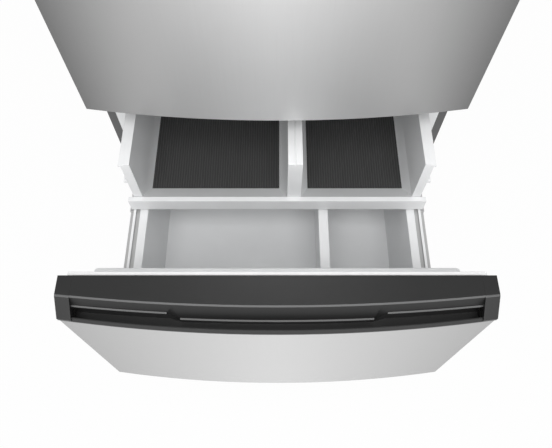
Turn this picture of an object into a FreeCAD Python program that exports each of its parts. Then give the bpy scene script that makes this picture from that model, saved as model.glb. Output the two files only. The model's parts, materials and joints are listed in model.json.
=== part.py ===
import FreeCAD, Part
import Sketcher
import math
import os

# Bottom freezer refrigerator: one fresh food door above a pull-out freezer drawer.
# The drawer and the tray above it stand open, as this is the position at rest.
# +Z is up, the fronts face -Y, and the origin lies on the floor under the middle of
# the object's length with the drawer open.  Inside the outlines below, y = 0 is the
# front edge of the cabinet, and every sub-part is moved as a whole to the origin.

document = FreeCAD.newDocument("BottomFreezerRefrigerator")

DIMENSIONS = [
    # cabinet
    ("cabinet_width", 832, "across the side panels"),
    ("cabinet_depth", 730, "front edge to back panel, without doors"),
    ("cabinet_top", 1715, "top panel above the floor"),
    ("cabinet_bottom", 50, "lower edge of the side panels above the floor"),
    ("sheet_steel", 1, "gauge of the painted cabinet and of the door fronts"),
    ("liner_wall", 2, "thickness of the white inner liners"),
    ("side_wall", 45, "insulated side wall, liner included"),
    ("back_wall", 60, "insulated back wall, liner included"),
    ("top_wall", 52, "insulated top wall, liner included"),
    ("front_flange", 20, "width of the painted edge round the openings"),
    ("liner_corner", 14, "inner corner radius of the liners"),
    ("mullion_top", 618, "floor of the fresh food space"),
    ("mullion_bottom", 566, "ceiling of the freezer space"),
    ("mullion_lap", 8, "liner edges over the bar between the two spaces"),
    ("freezer_floor", 102, "floor of the freezer space"),
    ("step_depth", 290, "rear step over the compressor, from its front to the back panel"),
    ("step_top", 332, "top of that step"),
    ("machine_depth", 248, "compressor space, from its front to the back panel"),
    ("machine_top", 290, "top of the compressor space"),
    # door and drawer fronts
    ("door_bottom", 600, "lower edge of the fresh food door"),
    ("door_top", 1712, "upper edge of the fresh food door"),
    ("door_gap", 16, "between the door and the drawer below it"),
    ("drawer_bottom", 61, "lower edge of the drawer front"),
    ("panel_gap", 12, "cabinet edge to the back of door and drawer"),
    ("panel_depth", 86, "cabinet edge to the front corners of the closed fronts"),
    ("door_bow", 31, "how far the middle of the door stands proud of its corners"),
    ("drawer_bow", 28, "the same for the drawer front"),
    ("drawer_skin_inset", 3.5, "steel of the drawer front in from the end blocks"),
    ("end_cap", 12, "height of the plastic caps inside the ends of the steel"),
    ("drawer_travel", 450, "full travel of the drawer"),
    ("tray_travel", 225, "travel of the upper tray"),
    # seals
    ("gasket_outer", 14, "outer edge of the gaskets in from the cabinet side"),
    ("gasket_end", 9, "outer edge of the gaskets in from the panel ends"),
    ("gasket_width", 28, "width of a gasket"),
    ("gasket_relief", 0.4, "gasket face to cabinet edge"),
    # freezer drawer cap with its pocket
    ("cap_top_depth", 39, "flat top of the drawer cap at its corners"),
    ("cap_top_bow", 22, "bow of the front edge of that flat top"),
    ("cap_slant", 34, "height of the slanted front of the cap"),
    ("cap_band", 9, "upright band under the slant, above the steel"),
    ("end_block", 28, "width of the blocks at the ends of the cap"),
    ("lip_wall", 7, "thickness of the lip that the fingers pull on"),
    ("ridge_slope", 0.42, "run of the pocket's back slope for each 1 of its fall"),
    ("side_ridge_fall", 24, "top of the cap down to the ridge, outer thirds"),
    ("centre_ridge_fall", 38, "top of the cap down to the ridge, middle third"),
    ("ridge_bead", 2.2, "reach of the rounded bead along each ridge"),
    ("pocket_fall", 60, "top of the cap down to the pocket floor"),
    ("centre_half", 183, "half length of the middle part of the pocket"),
    ("step_run", 24, "length of the slanting step between the pocket's parts"),
    ("pocket_wall", 2.5, "wall of the moulded pocket inside the foam"),
    # drawer liner, slides and basket
    ("plateau_clear", 7, "raised back of the drawer front to the liner, each side"),
    ("plateau_fall", 6, "its upper edge below the top of the steel front"),
    ("plateau_rise", 36, "how far it stands into the freezer"),
    ("plateau_bottom", 112, "its lower edge"),
    ("plateau_edge", 9, "its edge radius"),
    ("rail_top", 322, "top of the slides"),
    ("rail_height", 46, "height of the outer slide member"),
    ("rail_depth", 12.5, "width of the outer slide member"),
    ("rail_steel", 1.6, "gauge of the slide members"),
    ("rail_play", 0.5, "clearance between nested slide members"),
    ("rail_start", 28, "front end of the slides when closed"),
    ("rail_clear", 12, "rear ends of the slides in front of the step, when closed"),
    ("basket_clear", 28, "basket rim to the liner, each side"),
    ("basket_rim", 20, "width of the basket rim"),
    ("basket_front", 28, "front of the basket when closed"),
    ("basket_end", 22, "rear edge of the basket in front of the step, when closed"),
    ("basket_floor", 116, "underside of the basket"),
    ("basket_wall", 3, "wall of the basket"),
    ("basket_taper", 14, "how far the basket's sides draw in towards its floor"),
    ("basket_divider_x", 115, "middle of the divider in the basket"),
    ("divider_wall", 24, "thickness of the basket divider"),
    # upper tray
    ("tray_top", 524, "top of the tray's side walls"),
    ("tray_bottom", 329, "underside of the tray"),
    ("tray_rim_top", 372, "top of the tray's low front wall"),
    ("tray_clear", 16, "tray flange to the liner, each side"),
    ("tray_side", 26, "width of the hollow side walls at the top"),
    ("tray_front_clear", 8, "front rim to the liner, each side"),
    ("tray_front", 30, "front of the tray when closed"),
    ("tray_rim", 12, "depth of the front rim"),
    ("tray_end", 10, "rear end of the tray in front of the step, when closed"),
    ("tray_wall", 3, "wall of the tray"),
    ("tray_apron", 44, "run of the slope behind the front rim"),
    ("mat_inset", 39, "edge of the ribbed mat in from the tray flange"),
    ("mat_thick", 2, "thickness of the mat"),
    ("tray_divider_x", 41, "middle of the divider in the tray"),
    ("tray_divider_wall", 33, "thickness of that divider at the top"),
    ("tray_divider_foot", 72, "width of its foot"),
    ("guide_top", 440, "top of the ledges that carry the tray"),
    ("guide_height", 11, "height of those ledges"),
    ("guide_reach", 19, "how far they stand in from the liner"),
    # fresh food fittings
    ("shelf_front", 118, "front edge of the shelves"),
    ("shelf_end", 52, "rear edge of the shelves in front of the liner"),
    ("shelf_frame", 16, "width of the frame round a glass shelf"),
    ("shelf_height", 14, "height of that frame"),
    ("glass_thick", 4, "thickness of the glass"),
    ("ledge_height", 8, "height of the shelf ledges on the liner"),
    ("ledge_reach", 9, "how far the ledges stand out of the liner"),
    ("crisper_cover_level", 952, "underside of the cover over the crispers"),
    ("shelf_pitch", 160, "distance from one shelf to the next"),
    ("drawer_wall", 2.5, "wall of crispers and pantry drawer"),
    ("crisper_height", 170, "height of the crispers"),
    ("pantry_height", 112, "height of the pantry drawer"),
    ("side_play", 2, "crisper to ledge and divider, each side"),
    # door fittings
    ("dyke_clear", 13, "raised ring on the door liner to the cabinet liner, each side"),
    ("dyke_wall", 22, "thickness of that ring"),
    ("dyke_rise", 30, "how far it stands into the fresh food space"),
    ("dyke_bottom", 644, "lower edge of the ring"),
    ("dyke_top", 1650, "upper edge of the ring"),
    ("bin_depth", 84, "door bin, front to back"),
    ("bin_height", 92, "height of a door bin"),
    ("bin_wall", 2.5, "wall of a door bin"),
    ("grip_bottom", 980, "lower end of the door's side grip"),
    ("grip_height", 360, "height of the side grip"),
    ("grip_depth", 34, "depth of the side grip"),
    ("grip_mouth", 36, "opening of the side grip, front to back"),
    # hinges
    ("hinge_inset", 12, "hinge pin in from the side of the cabinet"),
    ("hinge_front", 40, "hinge pin in front of the cabinet edge"),
    ("pin_radius", 4, "hinge pins"),
    ("pin_play", 0.08, "hinge pin to its bush"),
    ("hinge_plate", 4, "thickness of the hinge brackets"),
    ("hinge_cover_height", 22, "height of the cover over the top hinge"),
    # base
    ("roller_radius", 20, "rear rollers"),
    ("front_roller_radius", 18, "front rollers, clear of the floor on the legs"),
    ("roller_width", 18, "all rollers"),
    ("axle_radius", 3, "roller axles"),
    ("axle_play", 0.08, "roller on its axle"),
    ("leg_radius", 5, "stem of a levelling leg"),
    ("foot_radius", 17, "foot of a levelling leg"),
    ("fan_radius", 62, "condenser fan"),
    ("evaporator_fan_radius", 45, "freezer fan"),
]


class Size:
    """A length that carries both its value and its formula in the sheet."""

    def __init__(self, value, formula):
        self.value = float(value)
        self.formula = formula

    def __add__(self, other):
        other = size(other)
        return Size(self.value + other.value, f"({self.formula} + {other.formula})")

    def __sub__(self, other):
        other = size(other)
        return Size(self.value - other.value, f"({self.formula} - {other.formula})")

    def __mul__(self, other):
        other = size(other)
        return Size(self.value * other.value, f"({self.formula} * {other.formula})")

    def __truediv__(self, other):
        other = size(other)
        return Size(self.value / other.value, f"({self.formula} / {other.formula})")

    def root(self):
        return Size(math.sqrt(self.value), f"sqrt({self.formula})")

    def __neg__(self):
        return Size(-self.value, f"(-1 * {self.formula})")

    def __radd__(self, other):
        return size(other) + self

    def __rsub__(self, other):
        return size(other) - self

    def __rmul__(self, other):
        return size(other) * self


def size(item):
    if isinstance(item, Size):
        return item
    return Size(item, f"({item})")


class Dimensions:
    """The sheet of driving dimensions; each alias is read as an attribute."""

    def __init__(self, rows):
        self.sheet = document.addObject("Spreadsheet::Sheet", "Dimensions")
        for row, (alias, value, meaning) in enumerate(rows, start=1):
            self.sheet.set(f"A{row}", alias)
            self.sheet.set(f"B{row}", str(value))
            self.sheet.set(f"C{row}", meaning)
            self.sheet.setAlias(f"B{row}", alias)
            setattr(self, alias, Size(value, f"Dimensions.{alias}"))


d = Dimensions(DIMENSIONS)
document.recompute()

half_width = d.cabinet_width / 2
rest_shift = (d.panel_depth + d.drawer_bow + d.drawer_travel - d.cabinet_depth) / 2
sub_parts = []


# ---------------------------------------------------------------- building blocks

def bind(item, path, length):
    item.setExpression(path, size(length).formula)


def bind_place(item, x, y, z):
    bind(item, "Placement.Base.x", x)
    bind(item, "Placement.Base.y", y)
    bind(item, "Placement.Base.z", z)


def box(x0, x1, y0, y1, z0, z1):
    block = document.addObject("Part::Box", "Block")
    bind(block, "Length", size(x1) - x0)
    bind(block, "Width", size(y1) - y0)
    bind(block, "Height", size(z1) - z0)
    bind_place(block, x0, y0, z0)
    return block


TURNS = {
    "x": FreeCAD.Rotation(FreeCAD.Vector(0, 1, 0), 90),
    "y": FreeCAD.Rotation(FreeCAD.Vector(1, 0, 0), -90),
    "z": FreeCAD.Rotation(),
}


def rod(axis, x, y, z, radius, length):
    """A cylinder from the point along +axis."""
    round_bar = document.addObject("Part::Cylinder", "Rod")
    round_bar.Placement.Rotation = TURNS[axis]
    bind(round_bar, "Radius", radius)
    bind(round_bar, "Height", length)
    bind_place(round_bar, x, y, z)
    return round_bar


def tapered(bottom, top, z0, z1):
    """A block whose sides slope between two rectangles (x0, x1, y0, y1)."""
    wedge = document.addObject("Part::Wedge", "Taper")
    # the wedge's own Y runs up, so it is turned: own X = x, own Z = -y
    wedge.Placement.Rotation = FreeCAD.Rotation(FreeCAD.Vector(1, 0, 0), 90)
    bind(wedge, "Xmin", bottom[0])
    bind(wedge, "Xmax", bottom[1])
    bind(wedge, "Zmin", -size(bottom[3]))
    bind(wedge, "Zmax", -size(bottom[2]))
    bind(wedge, "Ymin", z0)
    bind(wedge, "Ymax", z1)
    bind(wedge, "X2min", top[0])
    bind(wedge, "X2max", top[1])
    bind(wedge, "Z2min", -size(top[3]))
    bind(wedge, "Z2max", -size(top[2]))
    return wedge


def fuse(*parts):
    if len(parts) == 1:
        return parts[0]
    union = document.addObject("Part::MultiFuse", "Joined")
    union.Shapes = list(parts)
    union.Refine = True
    return union


def cut(base, *tools):
    result = document.addObject("Part::Cut", "Cut")
    result.Base = base
    result.Tool = fuse(*tools)
    result.Refine = True
    return result


def common(base, tool):
    result = document.addObject("Part::Common", "Common")
    result.Base = base
    result.Tool = tool
    return result


def group(*parts):
    compound = document.addObject("Part::Compound", "Group")
    compound.Links = list(parts)
    return compound


def rounded(item, radius, chosen):
    """Fillets the edges whose two end points satisfy the test."""
    document.recompute()
    fillet = document.addObject("Part::Fillet", "Rounded")
    fillet.Base = item
    edges = []
    for number, edge in enumerate(item.Shape.Edges, start=1):
        ends = [vertex.Point for vertex in edge.Vertexes]
        if len(ends) == 2 and chosen(ends[0], ends[1]):
            edges.append((number, size(radius).value, size(radius).value))
    fillet.Edges = edges
    return fillet


def arc_angles(start, end, radius, bulge):
    """Centre and angles of the arc between two points, bulging to the given side."""
    chord = end - start
    middle = (start + end) * 0.5
    height = math.sqrt(max(radius ** 2 - (chord.Length / 2) ** 2, 0))
    across = FreeCAD.Vector(-chord.y, chord.x, 0).normalize()
    centre = middle - across * height * bulge
    first = math.atan2(start.y - centre.y, start.x - centre.x)
    last = math.atan2(end.y - centre.y, end.x - centre.x)
    return centre, first, last


def draw(sketch, points):
    """Draws a closed outline of (x, y) corners.

    A corner with two more items, a radius and +1 or -1, starts an arc that bulges to
    the left or right of the way to the next corner.  Corners and radii stay bound to
    the sheet.
    """
    corners = [FreeCAD.Vector(size(p[0]).value, size(p[1]).value, 0) for p in points]
    pieces = []
    for index, point in enumerate(points):
        start = corners[index]
        end = corners[(index + 1) % len(points)]
        if len(point) == 2:
            number = sketch.addGeometry(Part.LineSegment(start, end), False)
            pieces.append((number, 1, 2))
            continue
        radius, bulge = size(point[2]), point[3]
        centre, first, last = arc_angles(start, end, radius.value, bulge)
        circle = Part.Circle(centre, FreeCAD.Vector(0, 0, 1), radius.value)
        if bulge > 0:
            number = sketch.addGeometry(Part.ArcOfCircle(circle, last, first), False)
            pieces.append((number, 2, 1))
        else:
            number = sketch.addGeometry(Part.ArcOfCircle(circle, first, last), False)
            pieces.append((number, 1, 2))
        place = sketch.addConstraint(Sketcher.Constraint("Radius", number, radius.value))
        sketch.setExpression(f"Constraints[{place}]", radius.formula)
    for index, (number, first, last) in enumerate(pieces):
        following = pieces[(index + 1) % len(pieces)]
        sketch.addConstraint(
            Sketcher.Constraint("Coincident", number, last, following[0], following[1]))
    for index, (number, first, last) in enumerate(pieces):
        for kind, axis, value in (("DistanceX", -2, points[index][0]),
                                  ("DistanceY", -1, points[index][1])):
            value = size(value)
            if abs(value.value) < 1e-9:
                sketch.addConstraint(Sketcher.Constraint("PointOnObject", number, first, axis))
                continue
            place = sketch.addConstraint(
                Sketcher.Constraint(kind, -1, 1, number, first, value.value))
            sketch.setExpression(f"Constraints[{place}]", value.formula)


def new_body():
    return document.addObject("PartDesign::Body", "Body")


def sketch_on(body, plane, level, *outlines):
    """A sketch parallel to one of the body's own planes, at a level along its normal."""
    sketch = body.newObject("Sketcher::SketchObject", "Sketch")
    support = [item for item in body.Origin.OriginFeatures if item.Role == plane][0]
    sketch.AttachmentSupport = [(support, "")]
    sketch.MapMode = "FlatFace"
    bind(sketch, "AttachmentOffset.Base.z", level)
    for outline in outlines:
        draw(sketch, outline)
    return sketch


def prism(plane, low, high, *outlines):
    """A padded body between two levels of z, x or y; inner outlines are holes."""
    body = new_body()
    low, high = size(low), size(high)
    # the normal of the XZ plane points to -Y
    level = -high if plane == "XZ_Plane" else low
    sketch = sketch_on(body, plane, level, *outlines)
    pad = body.newObject("PartDesign::Pad", "Pad")
    pad.Profile = sketch
    bind(pad, "Length", high - low)
    return body


def pocket_in(body, plane, level, depth, reverse, *outlines):
    """Cuts outlines into a body and makes sure that material was removed."""
    document.recompute()
    before = body.Shape.Volume
    sketch = sketch_on(body, plane, level, *outlines)
    pocket = body.newObject("PartDesign::Pocket", "Pocket")
    pocket.Profile = sketch
    pocket.Reversed = reverse
    bind(pocket, "Length", depth)
    document.recompute()
    if body.Shape.Volume > before - 1e-3:
        raise ValueError(f"a pocket in {body.Label} removes nothing")
    return pocket


def repeat(body, feature, axis, count, length):
    pattern = body.newObject("PartDesign::LinearPattern", "LinearPattern")
    pattern.Originals = [feature]
    direction = [item for item in body.Origin.OriginFeatures if item.Role == axis][0]
    pattern.Direction = (direction, [""])
    bind(pattern, "Length", length)
    pattern.Occurrences = count
    body.Tip = pattern
    return pattern


def revolved(axis_x, axis_y, outline):
    """A body turned about the upright line at (axis_x, axis_y); the outline is (r, z)."""
    body = new_body()
    sketch = sketch_on(body, "XZ_Plane", -size(axis_y), outline)
    bind(sketch, "AttachmentOffset.Base.x", axis_x)
    spin = body.newObject("PartDesign::Revolution", "Revolution")
    spin.Profile = sketch
    spin.ReferenceAxis = (sketch, ["V_Axis"])
    spin.Angle = 360
    return body


def rect(x0, x1, y0, y1):
    return [(x0, y0), (x1, y0), (x1, y1), (x0, y1)]


def sub_part(label, item, travel=0):
    """Names a finished piece and moves it, with its travel, to the origin."""
    document.recompute()
    item.Label = label
    bind(item, "Placement.Base.y", rest_shift - travel)
    sub_parts.append(item)
    return item


def pair(make):
    """Builds a piece for the left side (-1) and for the right side (+1)."""
    return group(make(-1), make(1))


def side_box(side, near, far, y0, y1, z0, z1):
    """A block given by its distances out from the middle plane."""
    near, far = size(near), size(far)
    if side < 0:
        near, far = -far, -near
    return box(near, far, y0, y1, z0, z1)


def bow_radius(half, bow):
    return (half * half + bow * bow) / (2 * bow)


def bow_at(x, corner, bow):
    """The y of a bowed front at distance x, for a bow drawn over the cabinet width."""
    radius = bow_radius(half_width, bow)
    return radius - bow - corner - (radius * radius - size(x) * size(x)).root()


def front_outline(half, back, corner, bow):
    """Plan of a door panel: flat back and sides and a bowed front."""
    return [
        (-half, back),
        (-half, -corner, bow_radius(half, bow), -1),
        (half, -corner),
        (half, back),
    ]


# ------------------------------------------------------------------ insulated cabinet

inner_half = half_width - d.side_wall
shell_half = half_width - d.sheet_steel
opening_half = half_width - d.front_flange
space_top = d.cabinet_top - d.top_wall
space_back = d.cabinet_depth - d.back_wall
back_inside = d.cabinet_depth - d.sheet_steel
pan_top = d.cabinet_bottom + d.liner_wall
bar_bottom = d.mullion_bottom + d.mullion_lap
bar_top = d.mullion_top - d.mullion_lap
step_front = d.cabinet_depth - d.step_depth
machine_front = d.cabinet_depth - d.machine_depth
cover_front = space_back - 110  # cover in front of the evaporator
beyond = 5  # cutting blocks run this far past what they cut


def mullion_bar():
    """The bar across the front between the two openings, welded to the side panels."""
    lip = 12
    web = box(-opening_half, opening_half, 0, d.liner_wall, bar_bottom, bar_top)
    low = box(-opening_half, opening_half, d.liner_wall, lip, bar_bottom,
              bar_bottom + d.sheet_steel)
    high = box(-opening_half, opening_half, d.liner_wall, lip, bar_top - d.sheet_steel, bar_top)
    return fuse(web, low, high)


def make_cabinet_shell():
    outside = box(-half_width, half_width, 0, d.cabinet_depth, d.cabinet_bottom, d.cabinet_top)
    inside = box(-shell_half, shell_half, d.sheet_steel, d.cabinet_depth + beyond,
                 d.cabinet_bottom - beyond, d.cabinet_top - d.sheet_steel)
    opening = box(-opening_half, opening_half, -beyond, 2 * d.sheet_steel,
                  d.cabinet_bottom - beyond, d.cabinet_top - d.front_flange)
    return fuse(cut(outside, inside, opening), mullion_bar())


def make_cabinet_back():
    bead = 160
    panel = prism("XZ_Plane", back_inside, d.cabinet_depth,
                  rect(-shell_half, shell_half, d.machine_top, d.cabinet_top - d.sheet_steel))
    pocket_in(panel, "XZ_Plane", -d.cabinet_depth, d.sheet_steel / 2, True,
              rect(-inner_half + bead, inner_half - bead,
                   d.machine_top + bead, d.cabinet_top - bead))
    return panel


shelf_levels = [d.crisper_cover_level + step * d.shelf_pitch for step in range(4)]
pantry_bottom = d.mullion_top + 6
pantry_rim = pantry_bottom + d.pantry_height - 4
crisper_bottom = pantry_rim + 18
crisper_rim = crisper_bottom + d.crisper_height - 4
runner_gap = 0.3
shelf_back = space_back - d.shelf_end


def make_fresh_food_liner():
    outside = box(-inner_half - d.liner_wall, inner_half + d.liner_wall, 0,
                  space_back + d.liner_wall, d.mullion_top - d.liner_wall,
                  space_top + d.liner_wall)
    flange = box(-opening_half, opening_half, 0, d.liner_wall, bar_top,
                 d.cabinet_top - d.front_flange)
    block = box(-inner_half, inner_half, -beyond, space_back, d.mullion_top, space_top)
    cavity = rounded(block, d.liner_corner, lambda a, b: max(a.y, b.y) > 0)
    shell = cut(fuse(outside, flange), cavity)
    ledges = []
    for level in shelf_levels + [crisper_rim - runner_gap, pantry_rim - runner_gap]:
        for side in (-1, 1):
            ledges.append(side_box(side, inner_half - d.ledge_reach, inner_half + 1,
                                   d.shelf_front, shelf_back, level - d.ledge_height, level))
    return fuse(shell, *ledges)


def freezer_profile(grow):
    front = -beyond if grow == 0 else 0
    return [
        (front, d.freezer_floor - grow),
        (step_front + grow, d.freezer_floor - grow),
        (step_front + grow, d.step_top - grow),
        (space_back + grow, d.step_top - grow),
        (space_back + grow, d.mullion_bottom + grow),
        (front, d.mullion_bottom + grow),
    ]


def freezer_outside():
    half = inner_half + d.liner_wall
    return prism("YZ_Plane", -half, half, freezer_profile(d.liner_wall))


def make_freezer_liner():
    flange = box(-opening_half, opening_half, 0, d.liner_wall, pan_top, bar_bottom)
    block = prism("YZ_Plane", -inner_half, inner_half, freezer_profile(0))
    cavity = rounded(block, d.liner_corner, lambda a, b: (
        abs(a.x - b.x) < 1e-6 and max(a.y, b.y) > 0 and a.z > d.step_top.value + 1
        and b.z > d.step_top.value + 1))
    shell = cut(fuse(freezer_outside(), flange), cavity)
    guides = [side_box(side, inner_half - d.guide_reach, inner_half + 1, d.rail_start,
                       cover_front, d.guide_top - d.guide_height, d.guide_top)
              for side in (-1, 1)]
    return fuse(shell, *guides)


def make_cabinet_foam():
    block = box(-shell_half, shell_half, d.liner_wall, back_inside, pan_top,
                d.cabinet_top - d.sheet_steel)
    fresh = box(-inner_half - d.liner_wall, inner_half + d.liner_wall, -beyond,
                space_back + d.liner_wall, d.mullion_top - d.liner_wall,
                space_top + d.liner_wall)
    machine = box(-half_width, half_width, machine_front, d.cabinet_depth + beyond,
                  0, d.machine_top)
    return cut(block, fresh, freezer_outside(), machine, mullion_bar())


sub_part("cabinet_shell", make_cabinet_shell())
sub_part("cabinet_back", make_cabinet_back())
sub_part("fresh_food_liner", make_fresh_food_liner())
sub_part("freezer_liner", make_freezer_liner())
sub_part("cabinet_foam", make_cabinet_foam())


# ------------------------------------------------------------------------------- base

channel_outer = half_width - 12
channel_inner = channel_outer - d.roller_width - 12
channel_steel = 2
channel_foot = 14
axle_level = d.roller_radius
roller_middle = (channel_outer + channel_inner) / 2
front_axle_y = 96
rear_axle_y = d.cabinet_depth - 50
leg_y = 34
leg_bar_bottom = 36
leg_play = 0.05


def make_base_frame():
    pan = box(-shell_half, shell_half, d.liner_wall, back_inside, d.cabinet_bottom, pan_top)
    bar = box(-channel_outer, channel_outer, 12, 58, leg_bar_bottom, d.cabinet_bottom)
    # upright plates that stiffen the sides of the compressor space
    rails = [side_box(side, shell_half - channel_steel, shell_half, machine_front,
                      back_inside, pan_top, d.machine_top) for side in (-1, 1)]
    for side in (-1, 1):
        near, far = channel_inner, channel_outer
        rails.append(side_box(side, near, far, 58, d.cabinet_depth - 14,
                              d.cabinet_bottom - channel_steel, d.cabinet_bottom))
        rails.append(side_box(side, near, near + channel_steel, 58, d.cabinet_depth - 14,
                              channel_foot, d.cabinet_bottom))
        rails.append(side_box(side, far - channel_steel, far, 58, d.cabinet_depth - 14,
                              channel_foot, d.cabinet_bottom))
    holes = [rod("x", -half_width, y, axle_level, d.axle_radius, d.cabinet_width)
             for y in (front_axle_y, rear_axle_y)]
    holes += [rod("z", side * roller_middle, leg_y, 0, d.leg_radius + leg_play,
                  d.cabinet_bottom) for side in (-1, 1)]
    return cut(fuse(pan, bar, *rails), *holes)


def make_roller(side, y, radius):
    tread = rod("x", side * roller_middle - d.roller_width / 2, y, axle_level, radius,
                d.roller_width)
    bore = rod("x", side * roller_middle - d.roller_width, y, axle_level,
               d.axle_radius + d.axle_play, 2 * d.roller_width)
    return cut(tread, bore)


def make_roller_axles():
    return group(*[rod("x", side * roller_middle - (channel_outer - channel_inner) / 2, y,
                       axle_level, d.axle_radius, channel_outer - channel_inner)
                   for side in (-1, 1) for y in (front_axle_y, rear_axle_y)])


def make_levelling_leg(side):
    foot_height = 8
    return revolved(side * roller_middle, leg_y, [
        (0, 0), (d.foot_radius, 0), (d.foot_radius, foot_height - 3),
        (d.foot_radius - 4, foot_height), (d.leg_radius, foot_height),
        (d.leg_radius, d.cabinet_bottom - 0.5), (0, d.cabinet_bottom - 0.5)])


def make_toe_grille():
    front, thick, low, high = -14, 4, 12, 52
    slot, pitch, count = 36, 52, 14
    start = -channel_outer + 38
    plate = prism("XZ_Plane", front, front + thick,
                  rect(-channel_outer, channel_outer, low, high))
    slots = pocket_in(plate, "XZ_Plane", -front - thick, thick, True,
                      rect(start, start + slot, low + 10, low + 15),
                      rect(start, start + slot, low + 22, low + 27))
    repeat(plate, slots, "X_Axis", count, (count - 1) * pitch)
    clips = [side_box(side, 300, 324, front + thick, 12, leg_bar_bottom + 2, high - 4)
             for side in (-1, 1)]
    return fuse(plate, *clips)


sub_part("base_frame", make_base_frame())
sub_part("roller_axles", make_roller_axles())
for name, side in (("left", -1), ("right", 1)):
    sub_part(f"front_roller_{name}", make_roller(side, front_axle_y, d.front_roller_radius))
    sub_part(f"rear_roller_{name}", make_roller(side, rear_axle_y, d.roller_radius))
    sub_part(f"levelling_leg_{name}", make_levelling_leg(side))
sub_part("toe_grille", make_toe_grille())


# --------------------------------------------------------------------- cooling system

machine_middle = (machine_front + d.cabinet_depth) / 2
fan_level = pan_top + 108


def make_compressor():
    middle_x, grommet, radius = -235, 12, 76
    base = pan_top + grommet
    dome = revolved(middle_x, machine_middle, [
        (0, base + 3), (radius, base + 3), (radius, base + 92), (radius - 6, base + 92),
        (radius - 6, base + 112), (radius - 40, base + 152), (0, base + 152)])
    plate = box(middle_x - 92, middle_x + 92, machine_middle - 64, machine_middle + 64,
                base, base + 3)
    feet = [rod("z", middle_x + sx * 78, machine_middle + sy * 50, pan_top, 11, grommet)
            for sx in (-1, 1) for sy in (-1, 1)]
    terminal_box = box(middle_x + radius - 8, middle_x + radius + 26, machine_middle - 30,
                       machine_middle + 30, base + 24, base + 84)
    stub = rod("z", middle_x - 20, machine_middle, base + 150, 4, 30)
    return fuse(dome, plate, terminal_box, *feet, stub)


def bend(x, y, z, side, tube, spread):
    """A return bend of tube that joins two rows of a coil at its end."""
    reach = 14
    start = x if side > 0 else x - reach
    rows = [rod("x", start, y, z + share * spread, tube, reach) for share in (-1, 1)]
    across = rod("z", x + side * (reach - tube), y, z - spread, tube, 2 * spread)
    return fuse(across, *rows)


def make_coil(x0, x1, y0, y1, z0, z1, foot, fins):
    """Fins on two strips between end plates, with tube bends outside the plates."""
    fin, plate, strip = 0.8, 2, 10
    x0, x1 = size(x0), size(x1)
    pieces = [box(x0, x0 + plate, y0, y1, foot, z1), box(x1 - plate, x1, y0, y1, foot, z1)]
    for level in (z0, z1 - strip):
        pieces.append(box(x0 + plate, x1 - plate, size(y0) + 4, size(y1) - 4, level,
                          size(level) + 2))
    pitch = (x1 - x0 - plate) / (fins + 1)
    for number in range(1, fins + 1):
        place = x0 + plate / 2 + number * pitch
        pieces.append(box(place, place + fin, y0, y1, z0, z1))
    middle = (size(y0) + y1) / 2
    height = size(z1) - z0
    for x, side, share in ((x0, -1, 0.3), (x1, 1, 0.6)):
        pieces.append(bend(x, middle, z0 + height * share, side, 4, 14))
    return fuse(*pieces)


def make_fan(axis_along_x, centre, radius, hub, length, blades):
    """A hub with pitched blades, trimmed to the fan's circle."""
    x, y, z = centre
    chord, sheet, pitch = 0.62 * size(radius), 1.6, 32
    if axis_along_x:
        hub_rod = rod("x", x, y, z, hub, length)
        ring = rod("x", x, y, z, radius, length)
        axis = FreeCAD.Vector(1, 0, 0)
        across = FreeCAD.Vector(0, 0, 1)
    else:
        hub_rod = rod("y", x, y, z, hub, length)
        ring = rod("y", x, y, z, radius, length)
        axis = FreeCAD.Vector(0, 1, 0)
        across = FreeCAD.Vector(0, 0, 1)
    leaves = []
    for number in range(blades):
        turn = FreeCAD.Rotation(axis, 360 * number / blades)
        out = turn.multVec(across)
        leaf = document.addObject("Part::Box", "Blade")
        bind(leaf, "Length", chord)
        bind(leaf, "Width", sheet)
        bind(leaf, "Height", size(radius) * 1.1)
        # the blade's own Z runs outwards and its chord is pitched to the axis
        side_way = axis.cross(out)
        chord_way = FreeCAD.Rotation(out, pitch).multVec(side_way)
        leaf.Placement.Rotation = FreeCAD.Rotation(
            chord_way, out.cross(chord_way), out, "ZXY")
        start = axis * (0.5 * size(length).value) - chord_way * (0.5 * chord.value)
        middle_out = (size(x) + start.x, size(y) + start.y, size(z) + start.z)
        bind_place(leaf, *middle_out)
        leaves.append(leaf)
    return fuse(hub_rod, common(fuse(*leaves), ring))


fan_x = -92
shroud_x = -66


def make_fan_shroud():
    plate, depth = 3, 20
    wall = prism("YZ_Plane", shroud_x, shroud_x + plate,
                 rect(machine_front + 4, back_inside - 4, pan_top, d.machine_top - 4))
    throat = d.fan_radius + 4
    ring = rod("x", shroud_x - depth, machine_middle, fan_level, throat + plate, depth)
    hole = rod("x", shroud_x - 2 * depth, machine_middle, fan_level, throat, 3 * depth)
    bar = box(shroud_x + plate, shroud_x + 8, machine_middle - throat - 6,
              machine_middle + throat + 6, fan_level - 9, fan_level + 9)
    motor = rod("x", fan_x + 22.5, machine_middle, fan_level, 16, 40)
    return fuse(cut(fuse(wall, ring), hole), bar, motor)


def make_drain_pan():
    x0, x1, y0, y1 = 8, 312, machine_front + 18, d.cabinet_depth - 18
    high, wall = 34, 2
    return cut(tapered((x0 + 6, x1 - 6, y0 + 6, y1 - 6), (x0, x1, y0, y1), pan_top,
                       pan_top + high),
               tapered((x0 + 6 + wall, x1 - 6 - wall, y0 + 6 + wall, y1 - 6 - wall),
                       (x0 + wall, x1 - wall, y0 + wall, y1 - wall), pan_top + wall,
                       pan_top + high + 0.01))


def make_machine_cover():
    panel = prism("XZ_Plane", back_inside, d.cabinet_depth,
                  rect(-shell_half, shell_half, pan_top, d.machine_top))
    slots = pocket_in(panel, "XZ_Plane", -d.cabinet_depth, d.sheet_steel, True,
                      rect(-300, -288, pan_top + 60, pan_top + 110),
                      rect(-300, -288, pan_top + 130, pan_top + 180))
    repeat(panel, slots, "X_Axis", 11, 590)
    return panel


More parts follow.
